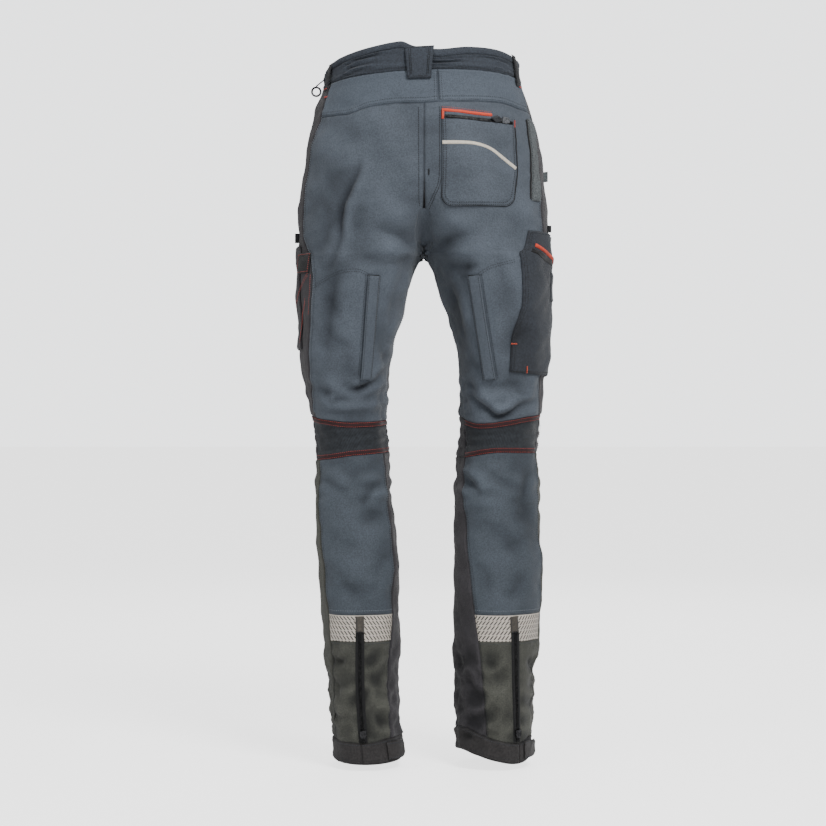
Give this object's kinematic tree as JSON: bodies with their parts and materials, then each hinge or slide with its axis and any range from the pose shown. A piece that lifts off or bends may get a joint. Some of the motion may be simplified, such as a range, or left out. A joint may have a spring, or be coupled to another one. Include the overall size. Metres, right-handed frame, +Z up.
{
  "type": "chainsaw protective trousers",
  "caption": "Chainsaw protective trousers standing as worn: yoke, gusset, vents, stretch knees, reflective calf bands, ankle zips, pockets and cut-protection pads inside.",
  "frame": {"origin": "centre of the waist opening, level with the middle of the waist edge at the side", "axes": "+Z up the body, +X to the wearer's right, +Y to the wearer's front; the back of the trousers faces -Y"},
  "size_m": [0.3769, 0.2627, 1.0523],
  "materials": {
    "slate_softshell": "matt fine-woven stretch softshell, slate blue-grey",
    "yoke_softshell": "matt softshell, a little lighter slate",
    "charcoal_softshell": "matt dark charcoal cloth with a purple cast",
    "waistband_cloth": "matt dark grey cloth, folded and top-stitched",
    "stretch_knit": "black two-way stretch knit",
    "heather_cloth": "grey-green heather cloth, abrasion resistant",
    "reflective_tape": "silver-cream reflective tape with a fine dark diagonal hatch",
    "lining_cloth": "smooth grey lining",
    "cut_pad_felt": "quilted cut-protection fleece in a thin cover",
    "zip_tape": "black coil zip on woven tape",
    "dark_metal": "black enamelled metal"
  },
  "bodies": {
    "root": {"back_panel_left": "slate_softshell", "back_panel_right": "slate_softshell", "back_pocket": "slate_softshell", "back_yoke_left": "yoke_softshell", "back_yoke_right": "yoke_softshell", "front_panel_left": "charcoal_softshell", "front_panel_right": "charcoal_softshell", "side_panel_left": "charcoal_softshell", "side_panel_right": "charcoal_softshell", "cargo_pocket_right": "charcoal_softshell", "thigh_pocket_left": "charcoal_softshell", "key_ring_tape": "charcoal_softshell", "waistband": "waistband_cloth", "belt_loop_centre_back": "waistband_cloth", "belt_loop_back_left": "waistband_cloth", "belt_loop_back_right": "waistband_cloth", "belt_loop_front_left": "waistband_cloth", "belt_loop_front_right": "waistband_cloth", "knee_band_left": "stretch_knit", "knee_band_right": "stretch_knit", "knee_front_left": "stretch_knit", "knee_front_right": "stretch_knit", "crotch_gusset": "heather_cloth", "waistband_lining": "lining_cloth", "cut_pad_left": "cut_pad_felt", "cut_pad_right": "cut_pad_felt", "fly_zip_chain": "zip_tape", "vent_zip_left": "zip_tape", "vent_zip_right": "zip_tape", "back_pocket_zip": "zip_tape"},
    "left_shank": {"calf_panel_left": "slate_softshell", "shank_strip_left": "heather_cloth", "shin_panel_left": "charcoal_softshell", "reflective_band_left": "reflective_tape", "gaiter_left": "heather_cloth", "ankle_zip_left": "zip_tape", "hem_cuff_left": "charcoal_softshell"},
    "right_shank": {"calf_panel_right": "slate_softshell", "shank_strip_right": "heather_cloth", "shin_panel_right": "charcoal_softshell", "reflective_band_right": "reflective_tape", "gaiter_right": "heather_cloth", "ankle_zip_right": "zip_tape", "hem_cuff_right": "charcoal_softshell"},
    "waist_tab": {"waist_tab": "waistband_cloth", "waist_snap": "dark_metal"},
    "fly_flap": {"fly_flap": "charcoal_softshell"},
    "fly_slider": {"fly_zip_slider": "dark_metal"},
    "fly_puller": {"fly_zip_puller": "dark_metal"},
    "pocket_slider": {"back_pocket_slider": "dark_metal"},
    "pocket_puller": {"back_pocket_puller": "dark_metal"},
    "left_vent_flap": {"vent_flap_left": "slate_softshell"},
    "right_vent_flap": {"vent_flap_right": "slate_softshell"},
    "left_vent_slider": {"vent_slider_left": "dark_metal"},
    "right_vent_slider": {"vent_slider_right": "dark_metal"},
    "left_ankle_slider": {"ankle_slider_left": "dark_metal"},
    "right_ankle_slider": {"ankle_slider_right": "dark_metal"},
    "left_hem_tab": {"hem_tab_left": "charcoal_softshell"},
    "right_hem_tab": {"hem_tab_right": "charcoal_softshell"},
    "key_ring": {"key_ring_left": "dark_metal"}
  },
  "joints": [
    {"name": "left_knee_bend", "type": "hinge", "parent": "root", "child": "left_shank", "pos_m": [-0.107, -0.012, -0.564], "axis": [-1, 0, 0], "range_deg": [0, 38], "deforming": ["knee_band_left", "knee_front_left", "cut_pad_left"]},
    {"name": "right_knee_bend", "type": "hinge", "parent": "root", "child": "right_shank", "pos_m": [0.111, -0.012, -0.564], "axis": [-1, 0, 0], "range_deg": [0, 38], "deforming": ["knee_band_right", "knee_front_right", "cut_pad_right"]},
    {"name": "waist_tab_opens", "type": "hinge", "parent": "root", "child": "waist_tab", "pos_m": [-0.0273, 0.1113, -0.043], "axis": [0, 0, 1], "range_deg": [0, 80]},
    {"name": "fly_flap_opens", "type": "hinge", "parent": "root", "child": "fly_flap", "pos_m": [-0.0284, 0.1146, -0.112], "axis": [0, -0.041, 0.9992], "range_deg": [0, 70]},
    {"name": "fly_slider_runs", "type": "slide", "parent": "root", "child": "fly_slider", "axis": [0, 0.0351, -0.9994], "range_m": [0, 0.072]},
    {"name": "fly_puller_lifts", "type": "hinge", "parent": "fly_slider", "child": "fly_puller", "pos_m": [0, 0.1143, -0.0781], "axis": [1, 0, 0], "range_deg": [0, 10]},
    {"name": "pocket_slider_runs", "type": "hinge", "parent": "root", "child": "pocket_slider", "pos_m": [0.02439, 0.05325, -0.09695], "axis": [-0.08, 0, -0.9968], "range_deg": [0, 27]},
    {"name": "pocket_puller_lifts", "type": "hinge", "parent": "pocket_slider", "child": "pocket_puller", "pos_m": [0.11215, -0.10745, -0.10397], "axis": [0.08, 0, 0.9968], "range_deg": [0, 100]},
    {"name": "left_vent_flap_opens", "type": "hinge", "parent": "root", "child": "left_vent_flap", "pos_m": [-0.08525, -0.10721, -0.40431], "axis": [-0.086, 0.18, -0.9799], "range_deg": [0, 90]},
    {"name": "right_vent_flap_opens", "type": "hinge", "parent": "root", "child": "right_vent_flap", "pos_m": [0.09035, -0.1094, -0.40345], "axis": [-0.1571, -0.142, 0.9773], "range_deg": [0, 90]},
    {"name": "left_vent_slider_runs", "type": "slide", "parent": "root", "child": "left_vent_slider", "axis": [-0.086, 0.18, -0.9799], "range_m": [0, 0.12]},
    {"name": "right_vent_slider_runs", "type": "slide", "parent": "root", "child": "right_vent_slider", "axis": [0.1571, 0.142, -0.9773], "range_m": [0, 0.12]},
    {"name": "left_ankle_slider_runs", "type": "slide", "parent": "left_shank", "child": "left_ankle_slider", "axis": [-0.032, -0.043, 0.9986], "range_m": [0, 0.135]},
    {"name": "right_ankle_slider_runs", "type": "slide", "parent": "right_shank", "child": "right_ankle_slider", "axis": [-0.021, -0.079, 0.9967], "range_m": [0, 0.135]},
    {"name": "left_hem_tab_opens", "type": "hinge", "parent": "left_shank", "child": "left_hem_tab", "pos_m": [-0.0525, -0.07143, -1.0205], "axis": [0, 0, -1], "range_deg": [0, 90]},
    {"name": "right_hem_tab_opens", "type": "hinge", "parent": "right_shank", "child": "right_hem_tab", "pos_m": [0.14695, -0.06086, -1.0205], "axis": [0, 0, -1], "range_deg": [0, 90]},
    {"name": "key_ring_swings", "type": "hinge", "parent": "root", "child": "key_ring", "pos_m": [-0.15968, -0.01311, -0.04321], "axis": [0, 1, 0], "range_deg": [0, 20]}
  ]
}
